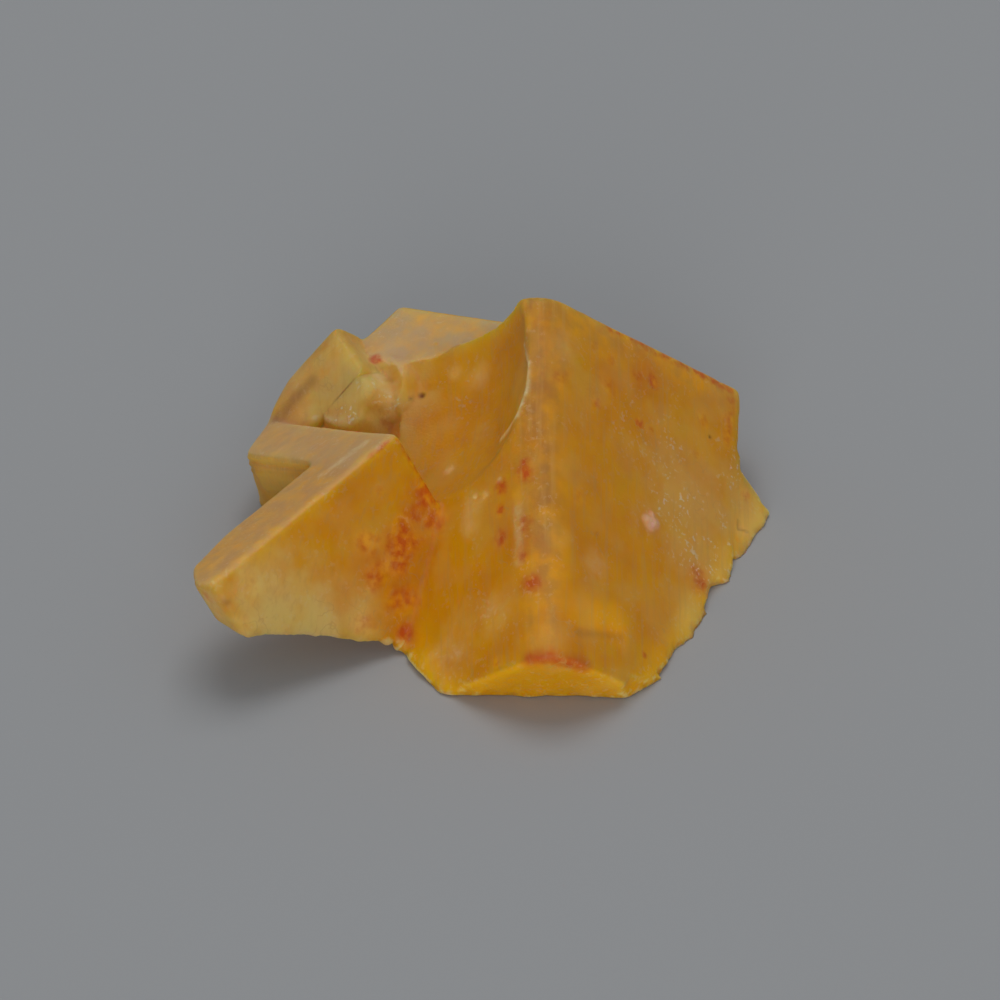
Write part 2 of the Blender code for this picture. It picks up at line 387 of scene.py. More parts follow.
# Round marks: x, y, z and radius, mm, then strength: 1 is full, more makes a mark bolder.
SPOTS: dict[Mark, tuple[Spot, ...]] = {
    Mark.GRAIN: (
        (10.26, -3.29, 5.52, 0.5, 1.0), (10.6, -3.0, 5.28, 0.36, 1.0),
        (9.96, -3.3, 5.85, 0.34, 1.0), (10.35, -2.75, 5.7, 0.28, 0.9),
    ),
    Mark.RUST: (
        (6.85, 1.12, 11.72, 0.4, 0.7), (9.66, 2.49, 9.16, 0.42, 0.95),
        (10.46, 2.82, 8.39, 0.25, 0.5), (9.63, 5.45, 10.69, 0.5, 0.65),
        (10.66, 6.07, 9.81, 0.55, 0.8), (7.89, 4.79, 12.38, 0.38, 0.6),
        (7.58, 2.94, 11.8, 0.7, 0.45), (6.74, 4.69, 13.66, 0.6, 0.35),
        (4.58, 0.56, 14.01, 0.7, 0.4), (13.41, 4.01, 5.57, 0.4, 0.35),
        (13.9, 6.63, 6.33, 0.5, 0.45), (5.66, -5.97, 9.51, 0.6, 0.4),
        (6.83, -7.15, 7.54, 0.34, 0.4), (2.34, -5.49, 11.05, 0.6, 1.0),
        (2.2, -4.9, 11.6, 0.42, 0.8), (0.89, -5.22, 9.81, 0.55, 0.9),
        (0.75, -6.43, 8.91, 0.4, 0.8), (0.82, -8.19, 7.9, 0.7, 0.6),
        (2.33, -8.42, 9.29, 0.55, 0.6), (2.18, -10.11, 8.17, 0.5, 0.6),
        (2.66, -12.01, 7.39, 0.6, 0.8), (-0.59, -10.26, 5.03, 0.2, 0.4),
        (13.52, -4.19, 1.28, 0.7, 0.9), (13.4, -3.6, 1.7, 0.55, 0.7),
        (16.7, 4.36, 1.91, 0.5, 0.45), (0.53, -14.76, 3.52, 0.34, 0.6),
        (1.0, -14.9, 3.5, 0.24, 0.5), (9.76, -11.9, 1.73, 0.26, 0.7),
        (-7.34, 9.79, 9.1, 0.4, 1.0), (-3.91, -3.38, 8.01, 0.9, 0.9),
        (-4.74, -4.55, 7.21, 0.7, 0.5), (-7.36, -6.87, 6.69, 0.8, 0.7),
        (-5.41, -5.44, 6.64, 0.8, 0.6), (-5.56, -6.17, 5.74, 1.1, 0.8),
        (-4.91, -5.66, 5.77, 0.8, 0.6), (-5.73, -6.81, 4.97, 0.9, 0.75),
        (-7.04, -7.92, 4.79, 0.8, 0.6), (-6.55, -7.4, 5.02, 0.7, 0.5),
        (-5.73, -8.13, 3.04, 1.0, 0.6), (-5.07, -7.62, 3.07, 0.8, 0.7),
        (-7.7, -9.94, 2.57, 0.9, 0.35), (-5.24, -9.02, 1.2, 0.6, 0.8),
        (-3.41, -4.17, 6.3, 0.8, 0.6), (-14.59, -12.09, 7.0, 0.9, 0.22),
        (-14.92, -13.36, 5.51, 0.6, 0.3), (-17.27, -12.33, 6.66, 0.6, 0.3),
        (-6.77, -4.71, 9.2, 0.3, 0.35),
    ),
    Mark.STAIN: (
        (-5.56, -6.17, 5.74, 1.5, 0.42), (-4.2, -4.2, 7.4, 1.3, 0.42),
        (-5.6, -7.6, 3.6, 1.3, 0.4), (-5.2, -9.0, 1.2, 0.9, 0.5),
        (-7.2, -7.4, 5.6, 1.2, 0.4), (0.82, -8.19, 7.9, 0.8, 0.6),
        (0.89, -5.22, 9.81, 0.5, 0.5), (2.3, -5.3, 11.1, 0.6, 0.5),
        (2.2, -9.4, 8.6, 0.9, 0.3), (2.66, -12.01, 7.39, 0.8, 0.4),
        (13.5, -4.0, 1.4, 1.0, 0.6), (9.9, 5.6, 10.5, 1.4, 0.35),
        (7.6, 3.6, 12.2, 1.4, 0.25),
    ),
    Mark.SHADE: ((-16.09, -13.22, 6.94, 0.34, 0.35), (14.0, -6.3, 0.9, 0.3, 0.4)),
    Mark.PIT: (
        (-4.3, 6.72, 8.28, 0.22, 1.0), (-5.05, 6.62, 8.04, 0.21, 1.3),
        (14.39, 6.02, 5.45, 0.13, 0.9),
    ),
    Mark.MILK_AND_GLINT: (
        (-16.8, -12.4, 6.6, 1.3, 0.35), (-6.9, 7.0, 8.2, 0.9, 0.6),
        (-17.4, -12.9, 6.2, 1.0, 0.3), (0.45, -12.16, 5.03, 1.3, 0.3),
        (-2.11, -12.01, 2.23, 1.5, 0.35), (-1.0, -4.85, 7.9, 0.8, 0.4),
        (-1.13, -5.78, 7.18, 0.8, 0.4), (-0.19, -4.8, 8.85, 0.26, 0.9),
        (-0.82, -4.38, 8.4, 0.24, 0.8), (-2.43, 0.15, 7.15, 0.4, 0.6),
        (0.75, -4.7, 9.98, 0.22, 0.8), (0.9, -2.2, 10.3, 0.24, 0.9),
        (6.69, -9.14, 6.7, 0.9, 0.35), (-0.53, 5.72, 10.38, 0.9, 0.35),
        (-2.15, 7.11, 9.85, 0.5, 0.5), (5.1, 2.8, 15.2, 1.0, 0.3),
    ),
    # Painted glints: where light catches the rough ledge, the slab and the right foot.
    Mark.SPARKLE: (
        (-9.47, 6.3, 7.41, 0.9, 1.4), (-8.94, 6.02, 7.7, 0.9, 1.4),
        (-6.9, 7.0, 8.2, 1.5, 1.0), (-3.32, 6.7, 8.72, 0.4, 1.0),
        (14.57, -0.74, 1.8, 1.8, 1.0), (-7.32, 8.35, 8.22, 0.8, 0.9),
        (-6.47, 8.52, 7.49, 1.2, 1.0), (-7.35, 8.61, 6.86, 1.0, 0.7),
        (-3.7, 5.83, 8.15, 0.3, 1.0), (12.28, 0.01, 4.86, 2.8, 0.85),
        (9.7, 2.72, 9.22, 2.6, 0.45), (15.71, 5.11, 3.46, 1.8, 0.8),
        (13.8, -2.2, 2.6, 2.6, 0.9), (11.6, 2.9, 6.6, 2.0, 0.6),
        (-2.0, 6.0, 9.0, 3.0, 0.3), (-12.0, 6.0, 7.0, 2.0, 0.3),
    ),
    # Painted glow: the large cube's low front and the crossing plate's shaded side are painted
    # bright orange, as if lit from inside.
    Mark.GLOW: (
        (6.66, -12.31, 5.13, 1.3, 1.0), (7.8, -11.76, 4.08, 1.3, 1.0),
        (5.4, -13.0, 6.2, 1.0, 0.5), (-13.0, 2.5, 5.0, 4.6, 1.0),
    ),
    Mark.CLEAR: (
        (-9.8, 8.2, 7.2, 3.4, 0.6), (-13.48, -11.88, 5.0, 3.4, 0.4),
        (-11.06, -11.41, 3.6, 2.6, 0.4), (16.8, 3.4, 1.2, 2.0, 0.45),
    ),
    # Painted light: straw makes the thin plate tips, the slab and the small corner paler where
    # light comes through them, and lifts shaded places.
    Mark.STRAW: (
        (-13.48, -11.88, 5.0, 3.4, 0.85), (-11.06, -11.41, 3.6, 2.6, 0.9),
        (-8.93, -9.66, 3.0, 2.0, 0.6), (-9.0, 7.9, 7.2, 4.2, 0.8),
        (-8.4, 6.9, 6.4, 2.6, 0.9), (-13.0, 2.5, 5.0, 4.6, 0.3),
        (16.8, 3.4, 1.2, 3.0, 0.4), (13.0, 0.6, 4.2, 4.2, 0.4),
        (13.6, -2.6, 2.4, 3.0, 0.35), (12.9, -6.6, 1.2, 2.0, 0.3),
    ),
}

# Marks along lines.
STREAKS: dict[Mark, tuple[Streak, ...]] = {
    Mark.MILK_AND_GLINT: (
        # Painted highlight: a bright line along the hollow's lip.
        Streak(0.22, 1.0, HOLLOW_LIP),
        Streak(0.34, 0.6, (
            (-10.38, -3.54, 9.58), (-9.31, -2.81, 10.05),
            (-8.42, -2.2, 10.4), (-7.75, -1.68, 10.63),
        )),
        Streak(0.4, 0.5, ((1.87, -7.2, 9.7), (1.93, -8.51, 8.94), (1.87, -10.2, 7.9))),
        Streak(0.45, 0.7, ((-7.29, 8.11, 8.67), (-6.88, 6.84, 8.22), (-6.56, 6.12, 7.15))),
        # Painted highlight: a glint line beside the slab.
        Streak(0.2, 1.0, ((-11.26, 6.93, 6.31), (-10.26, 6.3, 6.69), (-9.27, 5.61, 7.03))),
    ),
    Mark.STAIN: (
        Streak(0.55, 0.9, ((2.51, -16.1, 4.71), (3.92, -16.36, 5.08), (5.98, -15.82, 3.88))),
    ),
    Mark.RUST: (
        Streak(0.4, 0.5, ((2.7, -16.1, 4.71), (3.92, -16.36, 5.08), (5.4, -15.9, 4.1))),
        Streak(0.5, 0.75, (
            (5.4, 6.6, 15.6), (7.92, 7.15, 13.37), (11.11, 8.53, 10.43),
            (13.22, 9.61, 8.47), (15.77, 10.4, 6.07),
        )),
        Streak(0.45, 0.5, (
            (15.77, 10.4, 6.07), (15.89, 9.79, 5.62), (15.73, 8.78, 5.29), (15.55, 6.91, 4.55),
        )),
        Streak(0.2, 0.7, ((-5.9, -2.4, 11.8), (-7.4, -3.6, 10.9), (-8.6, -4.9, 10.3))),
        Streak(0.3, 0.6, (
            (-5.7, -2.3, 11.6), (-4.9, -2.6, 10.2), (-3.91, -3.0, 8.4), (-3.2, -3.4, 6.9),
        )),
        Streak(0.18, 0.7, (
            (-7.34, 9.79, 9.1), (-6.6, 9.4, 8.7), (-5.6, 9.3, 8.6), (-3.6, 8.8, 8.9),
        )),
    ),
    Mark.SHADE: (
        Streak(0.5, 0.45, ((-11.5, 9.11, 7.71), (-12.82, 8.76, 6.28), (-13.89, 8.34, 5.05))),
        Streak(0.26, 0.22, ((5.56, -14.25, 5.43), (7.3, -12.91, 4.08), (8.28, -12.13, 3.34))),
        Streak(1.8, 0.3, ((3.1, 5.0, 17.8), (3.1, -8.4, 10.9))),
        Streak(0.1, 0.5, ((16.12, 2.38, 1.45), (16.17, 1.85, 1.12), (16.78, 2.14, 0.65))),
    ),
}


# --- Materials ---

# A colour Mix node's sockets: four kinds of value share their names, so they go by number.
MIX_SHARE, MIX_UNDER, MIX_OVER, MIX_RESULT = 0, 6, 7, 2

# The kinds of node that are used again and again.
NOISE = "ShaderNodeTexNoise"
RANGE = "ShaderNodeMapRange"
MATH = "ShaderNodeMath"


def srgb(code: str) -> tuple[float, float, float, float]:
    """Turn an sRGB hex colour such as "#a26f14" into linear red, green, blue and alpha."""
    parts = [int(code[i : i + 2], 16) / 255.0 for i in (1, 3, 5)]
    red, green, blue = (
        part / 12.92 if part <= 0.04045 else ((part + 0.055) / 1.055) ** 2.4 for part in parts
    )
    return red, green, blue, 1.0


def add_node(
    tree: Tree, kind: str, inputs: Sockets | None = None, **settings: object
) -> bpy.types.Node:
    """Add a node with its settings and links.

    Args:
        tree: the node tree.
        kind: the node's type name.
        inputs: socket name or index to a value, or to the output socket that feeds it.
        settings: the node's own properties.

    Returns:
        The new node.
    """
    node = tree.nodes.new(kind)
    for name, value in settings.items():
        setattr(node, name, value)
    for key, value in (inputs or {}).items():
        socket = node.inputs[key]
        if isinstance(value, Socket):
            tree.links.new(value, socket)
        else:
            socket.default_value = value
    return node


def blotches(place: Socket, size: float, detail: float) -> Sockets:
    """Return the inputs of a noise whose blotches have a given size, mm, and detail."""
    return {"Vector": place, "Scale": 1.0 / (size * MM), "Detail": detail}


def between(value: Socket, low: float, high: float) -> Sockets:
    """Return the inputs of a range that turns low to high into 0 to 1."""
    return {"Value": value, "From Min": low, "From Max": high}


@dataclass(frozen=True)
class Layer:
    """A colour laid over the stone where an attribute says so, broken up by fine noise.

    mark: the attribute's name.
    colour: sRGB hex.
    grain: the noise's size, mm; 0 for an even layer.
    low: the noise at which the layer begins.
    high: the noise at which it is whole.
    crisp: whether it falls apart into sharp specks where it is thin.
    """

    mark: str
    colour: str
    grain: float = 0.0
    low: float = 0.4
    high: float = 0.6
    crisp: bool = False


@dataclass(frozen=True)
class CloudedFluorite:
    """Natural amber fluorite, its cube faces etched to a satin.

    Fluorite bends light little (1.434), so its gloss is weak. The stone is partly clear: light
    passes through and the yellow body absorbs its blue. Fine clouds inside scatter the rest,
    which comes back out yellow where it went a short way and orange where it went a long way.
    Iron oxide dusts it red in places. Light is also painted on: a pale sheen of the overhead
    light on the upward faces, glints, and a glow and paler straw where light comes through.

    amber, honey: the two body colours, which drift into each other.
    trace: the colour of the striae and of the thin swirls.
    gloss: the specular level, half the usual one, as the satin breaks up the gloss.
    density: of the absorption inside, per metre, and passes, the light that it lets through.
    scatter: how far red, green and blue scatter, as shares of scatter_depth, mm.
    cloud: size of the drifts of amber and honey, mm.
    stria: width of the growth striae, mm, and stretch, how many times longer they are.
    swirl: size of the swirls, mm; they are drawn where swirl_patch, mm, has a light patch.
    tooth: size of the satin's grain, mm, drawn coarser than it is so that it shows, and
        tooth_height, mm, its bump.
    speck_range: the strengths at which a crisp layer's specks begin and are whole, and
        speck_most, how strong they are there.
    """

    name: str = "clouded_fluorite"
    amber: str = "#fbb400"
    honey: str = "#efa400"
    trace: str = "#dcae62"
    index: float = 1.434
    roughness: float = 0.5
    gloss: float = 0.25
    density: float = 120.0
    passes: Triple = (0.99, 0.86, 0.0)
    scatter: Triple = (0.5, 0.95, 0.4)
    scatter_depth: float = 3.0
    cloud: float = 3.0
    stria: float = 0.3
    stretch: float = 16.0
    swirl: float = 2.2
    swirl_patch: float = 3.0
    tooth: float = 0.18
    tooth_height: float = 0.06
    speck_range: Pair = (0.08, 0.6)
    speck_most: float = 0.75
    layers: tuple[Layer, ...] = (
        # Painted glow: bright orange where the stone is painted as lit from inside by light
        # passing through it.
        Layer("glow", "#ffac00"),
        # Mostly painted light: pale straw where thin parts let light through, on a shaded side and
        # on lit rims; the faint pale patches in it are the stone's own tone.
        Layer("straw", "#ffe08a"),
        # Painted sheen: the overhead light on the plates' level faces, laid on as tan.
        Layer("top_sheen", "#d29c5e", 1.2, 0.1, 0.6),
        # Painted sheen: the overhead light on the back block's top, laid on paler.
        Layer("pale_sheen", "#ccab7e", 1.6, 0.1, 0.6),
        # Painted sheen: the overhead light along the ridge and the large cube's top edge.
        Layer("crest_sheen", "#be8640", 1.4, 0.28, 0.6),
        # Pale white marks; the line along the hollow's lip and one beside the slab are painted
        # highlights.
        Layer("milk_and_glint", "#eed39a", 0.6, 0.2, 0.6),
        Layer("shade", "#8a5030"),
        Layer("stain", "#d4681c"),
        Layer("rust", "#cc460e", 0.55, 0.3, 0.64, crisp=True),
        # Painted glints: bright specks where light catches the surface.
        Layer("sparkle", "#ffeccc", 0.3, 0.57, 0.62),
        Layer("grain", "#f0b4a0"),
        Layer("pit", "#641a08"),
    )

    def material(self) -> bpy.types.Material:
        """Build the node tree and return the material."""
        material = bpy.data.materials.new(self.name)
        material.use_nodes = True
        tree = material.node_tree
        tree.nodes.clear()
        output = add_node(tree, "ShaderNodeOutputMaterial")
        place = add_node(tree, "ShaderNodeTexCoord").outputs["Object"]
        inputs = {
            "Base Color": self.colour(tree, place),
            "Roughness": self.roughness,
            "IOR": self.index,
            "Specular IOR Level": self.gloss,
            "Subsurface Weight": 1.0,
            "Subsurface Radius": self.scatter,
            "Subsurface Scale": self.scatter_depth * MM,
            "Transmission Weight": self.painted(tree, Mark.CLEAR.value),
            "Normal": self.satin(tree, place),
        }
        kind = "ShaderNodeBsdfPrincipled"
        shader = add_node(tree, kind, inputs, subsurface_method="RANDOM_WALK")
        inside = {"Color": (*self.passes, 1.0), "Density": self.density}
        body = add_node(tree, "ShaderNodeVolumeAbsorption", inside)
        tree.links.new(shader.outputs[0], output.inputs["Surface"])
        tree.links.new(body.outputs[0], output.inputs["Volume"])
        return material

    def colour(self, tree: Tree, place: Socket) -> Socket:
        """Lay every colour over the amber, one after another, and return the result.

        Args:
            tree: the node tree.
            place: the surface's own coordinates.

        Returns:
            The socket that gives the colour.
        """
        covers = [(self.drifts(tree, place), self.honey)]
        covers += [(self.layer_share(tree, place, layer), layer.colour) for layer in self.layers]
        covers += [(self.striae(tree, place), self.trace), (self.swirls(tree, place), self.trace)]
        colour: object = srgb(self.amber)
        for share, code in covers:
            inputs = {MIX_SHARE: share, MIX_UNDER: colour, MIX_OVER: srgb(code)}
            mix = add_node(tree, "ShaderNodeMix", inputs, data_type="RGBA")
            colour = mix.outputs[MIX_RESULT]
        return colour

    @staticmethod
    def painted(tree: Tree, mark: str) -> Socket:
        """Read what is painted on the stone under a mark's name."""
        return add_node(tree, "ShaderNodeAttribute", attribute_name=mark).outputs["Fac"]

    def drifts(self, tree: Tree, place: Socket) -> Socket:
        """Return where honey drifts into the amber: soft noise."""
        cloud = add_node(tree, NOISE, blotches(place, self.cloud, 2.5))
        share = add_node(tree, RANGE, between(cloud.outputs["Fac"], 0.38, 0.62))
        return share.outputs[0]

    def layer_share(self, tree: Tree, place: Socket, layer: Layer) -> Socket:
        """Return where a layer covers the stone: its painted strength times its own noise.

        Args:
            tree: the node tree.
            place: the surface's own coordinates.
            layer: the layer.

        Returns:
            The socket that gives its share, from 0 to 1.
        """
        share = self.painted(tree, layer.mark)
        if layer.grain:
            noise = add_node(tree, NOISE, blotches(place, layer.grain, 6.0))
            limits = between(noise.outputs["Fac"], layer.low, layer.high)
            broken = add_node(tree, RANGE, limits)
            both = {0: share, 1: broken.outputs[0]}
            share = add_node(tree, MATH, both, operation="MULTIPLY").outputs[0]
        if layer.crisp:
            limits = between(share, *self.speck_range) | {"To Max": self.speck_most}
            share = add_node(tree, RANGE, limits).outputs[0]
        return share

    def striae(self, tree: Tree, place: Socket) -> Socket:
        """Return the growth striae: fine noise drawn out along the large cube's own Z."""
        angles = Matrix(LARGE_CUBE.rotation().tolist()).to_euler()
        settings = {"Vector": place, "Rotation": angles, "Scale": (1.0, 1.0, self.stretch)}
        along = add_node(tree, "ShaderNodeMapping", settings, vector_type="TEXTURE").outputs[0]
        fine = add_node(tree, NOISE, blotches(along, self.stria, 3.0))
        limits = between(fine.outputs["Fac"], 0.52, 0.72) | {"To Max": 0.3}
        return add_node(tree, RANGE, limits).outputs[0]

    def swirls(self, tree: Tree, place: Socket) -> Socket:
        """Return the thin swirls: lines where a noise crosses its middle, in some patches."""
        swirl = add_node(tree, NOISE, blotches(place, self.swirl, 3.0))
        middle = {0: swirl.outputs["Fac"], 1: 0.5}
        off = add_node(tree, MATH, middle, operation="SUBTRACT")
        size = add_node(tree, MATH, {0: off.outputs[0]}, operation="ABSOLUTE")
        limits = between(size.outputs[0], 0.0, 0.012) | {"To Min": 0.5, "To Max": 0.0}
        line = add_node(tree, RANGE, limits)
        patch = add_node(tree, NOISE, blotches(place, self.swirl_patch, 1.0))
        some = add_node(tree, RANGE, between(patch.outputs["Fac"], 0.5, 0.62))
        both = {0: line.outputs[0], 1: some.outputs[0]}
        return add_node(tree, MATH, both, operation="MULTIPLY").outputs[0]

    def satin(self, tree: Tree, place: Socket) -> Socket:
        """Return the surface's direction with the etched satin's fine bump on it."""
        tooth = add_node(tree, NOISE, blotches(place, self.tooth, 4.0))
        height = {"Height": tooth.outputs["Fac"], "Strength": 0.5}
        height["Distance"] = self.tooth_height * MM
        return add_node(tree, "ShaderNodeBump", height).outputs[0]


@dataclass(frozen=True)
class StudioPaper:
    """Matt pale grey paper: hardly any gloss."""

    name: str = "studio_paper"
    grey: str = "#a3a4a5"
    roughness: float = 0.9
    gloss: float = 0.2

    def material(self) -> bpy.types.Material:
        """Set the colour and the gloss, and return the material."""
        material = bpy.data.materials.new(self.name)
        material.use_nodes = True
        shader = material.node_tree.nodes["Principled BSDF"]
        shader.inputs["Base Color"].default_value = srgb(self.grey)
        shader.inputs["Roughness"].default_value = self.roughness
        shader.inputs["Specular IOR Level"].default_value = self.gloss
        return material


# --- The stone's natural surface ---


@dataclass(frozen=True)
class Rough:
    """Noise worked into the surface: its height and its cell, mm, and the seed that picks it."""

    height: float
    cell: float
    seed: int

    def at(self, points: Array, share: Array | float = 1.0) -> Array:
        """Return the height at each point, mm: a share from 0 to 1 of the noise."""
        return self.height * share * layered_noise(points, self.cell, self.seed)


@dataclass(frozen=True)
class Relief:
    """The low relief of the stone's faces and its broken edges. Heights and sizes are in mm.

    waves, skin: the slow and the fine unevenness of every face.
    ridge_height, ridge_step: the growth lines on the rounded ridge, and their spacing.
    plate_height, plate_step: the growth lines on the crossing plate's side, and their spacing.
    chips: the broken foot at the right. front: the broken foot in front.
    ledge: the broken ledge beside the slab, round ledge_centre.
    lip_step, lip_bead, bead_width: the step below the hollow's lip, and the bead along it.
    pits, pit_seed, pit_widths, pit_depth: how many etch pits, what places them, how wide they
        are, and their depth as a share of their width.
    grain_height, dark_pit_depth: the stuck grain, and the dark pits.
    foot_shift, foot_cell, foot_seeds: how far the foot's outline wanders, at what spacing, and
        the seeds of the noise that moves it along X and Y.
    """

    waves: Rough = Rough(0.05, 4.5, 1)
    skin: Rough = Rough(0.014, 0.8, 2)
    ridge_height: float = 0.005
    ridge_step: float = 0.45
    plate_height: float = 0.045
    plate_step: float = 0.55
    chips: Rough = Rough(0.08, 0.7, 9)
    front: Rough = Rough(0.11, 1.3, 10)
    ledge: Rough = Rough(0.16, 0.6, 11)
    ledge_centre: Triple = (-6.8, 7.0, 8.0)
    lip_step: float = 0.1
    lip_bead: float = 0.07
    bead_width: float = 0.2
    pits: int = 260
    pit_seed: int = 4
    pit_widths: Pair = (0.1, 0.28)
    pit_depth: float = 0.2
    grain_height: float = 0.14
    dark_pit_depth: float = 0.07
    foot_shift: float = 0.3
    foot_cell: float = 1.5
    foot_seeds: tuple[int, int] = (51, 52)

    def height(self, points: Array, normals: Array) -> Array:
        """Return how far each point moves out along its normal, mm.

        The sum of slow waves, growth lines, broken places, etch pits and single marks. It fades
        to nothing on the level underside.

        Args:
            points: n by 3 places, mm.
            normals: the outward normals there.

        Returns:
            One value for each point.
        """
        out = self.waves.at(points) + self.skin.at(points)
        out += self.growth_lines(points, normals)
        out += self.broken_places(points)
        out += self.etch_pits(points)
        out += self.single_marks(points)
        return out * smoothstep(0.02, 0.25, points[:, 2])

    def growth_lines(self, points: Array, normals: Array) -> Array:
        """Return the growth lines' height, mm.

        On the rounded ridge it is a cosine of the distance across the ridge; on the crossing
        plate's outer side, a cosine of the depth below its top edge, fading with that depth.

        Args:
            points: n by 3 places, mm.
            normals: the outward normals there.

        Returns:
            One value for each point.
        """
        wobble = lattice_noise(points, 3.0, 5)
        cube = LARGE_CUBE.local(points)
        ridge = smoothstep(2.8, 1.6, np.abs(cube[:, 0])) * smoothstep(2.8, 1.6, np.abs(cube[:, 1]))
        across = (cube[:, 0] - cube[:, 1]) * HALF_ROOT + 0.15 * wobble
        out = self.ridge_height * ridge * np.cos(2.0 * math.pi * across / self.ridge_step)
        outer = Face(CROSS_PLATE, 0).share(points, normals, 0.8)
        below = CROSS_PLATE.local(points)[:, 2] + 0.12 * wobble
        fade = smoothstep(-2.4, -1.2, below) * smoothstep(-0.2, -0.6, below)
        lines = self.plate_height * outer * fade
        return out + lines * np.cos(2.0 * math.pi * below / self.plate_step)

    def broken_places(self, points: Array) -> Array:
        """Return the height of the chipped foot, the broken ledge and the hollow's lip, mm.

        The chips and the ledge are noise inside soft bounds. Below the lip the surface drops by a
        small step, which rises again slowly away from it, and a bead runs along it.

        Args:
            points: n by 3 places, mm.

        Returns:
            One value for each point.
        """
        right_foot = smoothstep(1.3, 0.3, points[:, 2]) * smoothstep(4.0, 8.0, points[:, 0])
        out = self.chips.at(points, right_foot)
        out += self.front.at(points, smoothstep(1.0, 0.2, points[:, 2]))
        out += self.ledge.at(points, smoothstep(1.9, 0.9, gap_to(points, self.ledge_centre)))
        lip = np.array(HOLLOW_LIP)
        side = points[:, 0] - np.interp(points[:, 2], lip[:, 2], lip[:, 0])
        gap = near_line(points, HOLLOW_LIP)
        out -= self.lip_step * smoothstep(0.1, -0.12, side) * smoothstep(2.6, 0.2, gap)
        return out + self.lip_bead * np.exp(-((gap / self.bead_width) ** 2))

    def etch_pits(self, points: Array) -> Array:
        """Return the pits' depth, mm: a bell curve inwards at each of some seeded places."""
        rng = np.random.default_rng(self.pit_seed)
        picks = points[rng.integers(0, len(points), self.pits)]
        widths = rng.uniform(*self.pit_widths, self.pits)
        out = np.zeros(len(points))
        for place, width in zip(picks, widths):
            near = np.flatnonzero(np.abs(points[:, 0] - place[0]) < 3.0 * width)
            gap = ((points[near] - place) ** 2).sum(1) / width**2
            out[near] -= self.pit_depth * width * np.exp(-gap)
        return out

    def single_marks(self, points: Array) -> Array:
        """Return the height of the stuck grain, the dark pits and the small lobes, mm."""
        out = np.zeros(len(points))
        heights = ((Mark.GRAIN, self.grain_height), (Mark.PIT, -self.dark_pit_depth))
        for kind, height in heights:
            for *place, radius, _ in SPOTS[kind]:
                out += height * smoothstep(1.3, 0.4, gap_to(points, place) / radius)
        for *place, radius, height in LOBES:
            out += height * smoothstep(1.3, 0.1, gap_to(points, place) / radius)
        return out

    def worn_foot(self, points: Array) -> Array:
        """Return a level shift, mm, that makes the foot uneven: noise that fades upwards."""
        reach = self.foot_shift * smoothstep(2.4, 0.2, points[:, 2])
        along = [reach * layered_noise(points, self.foot_cell, seed) for seed in self.foot_seeds]
        return np.stack([*along, 0.0 * reach], 1)


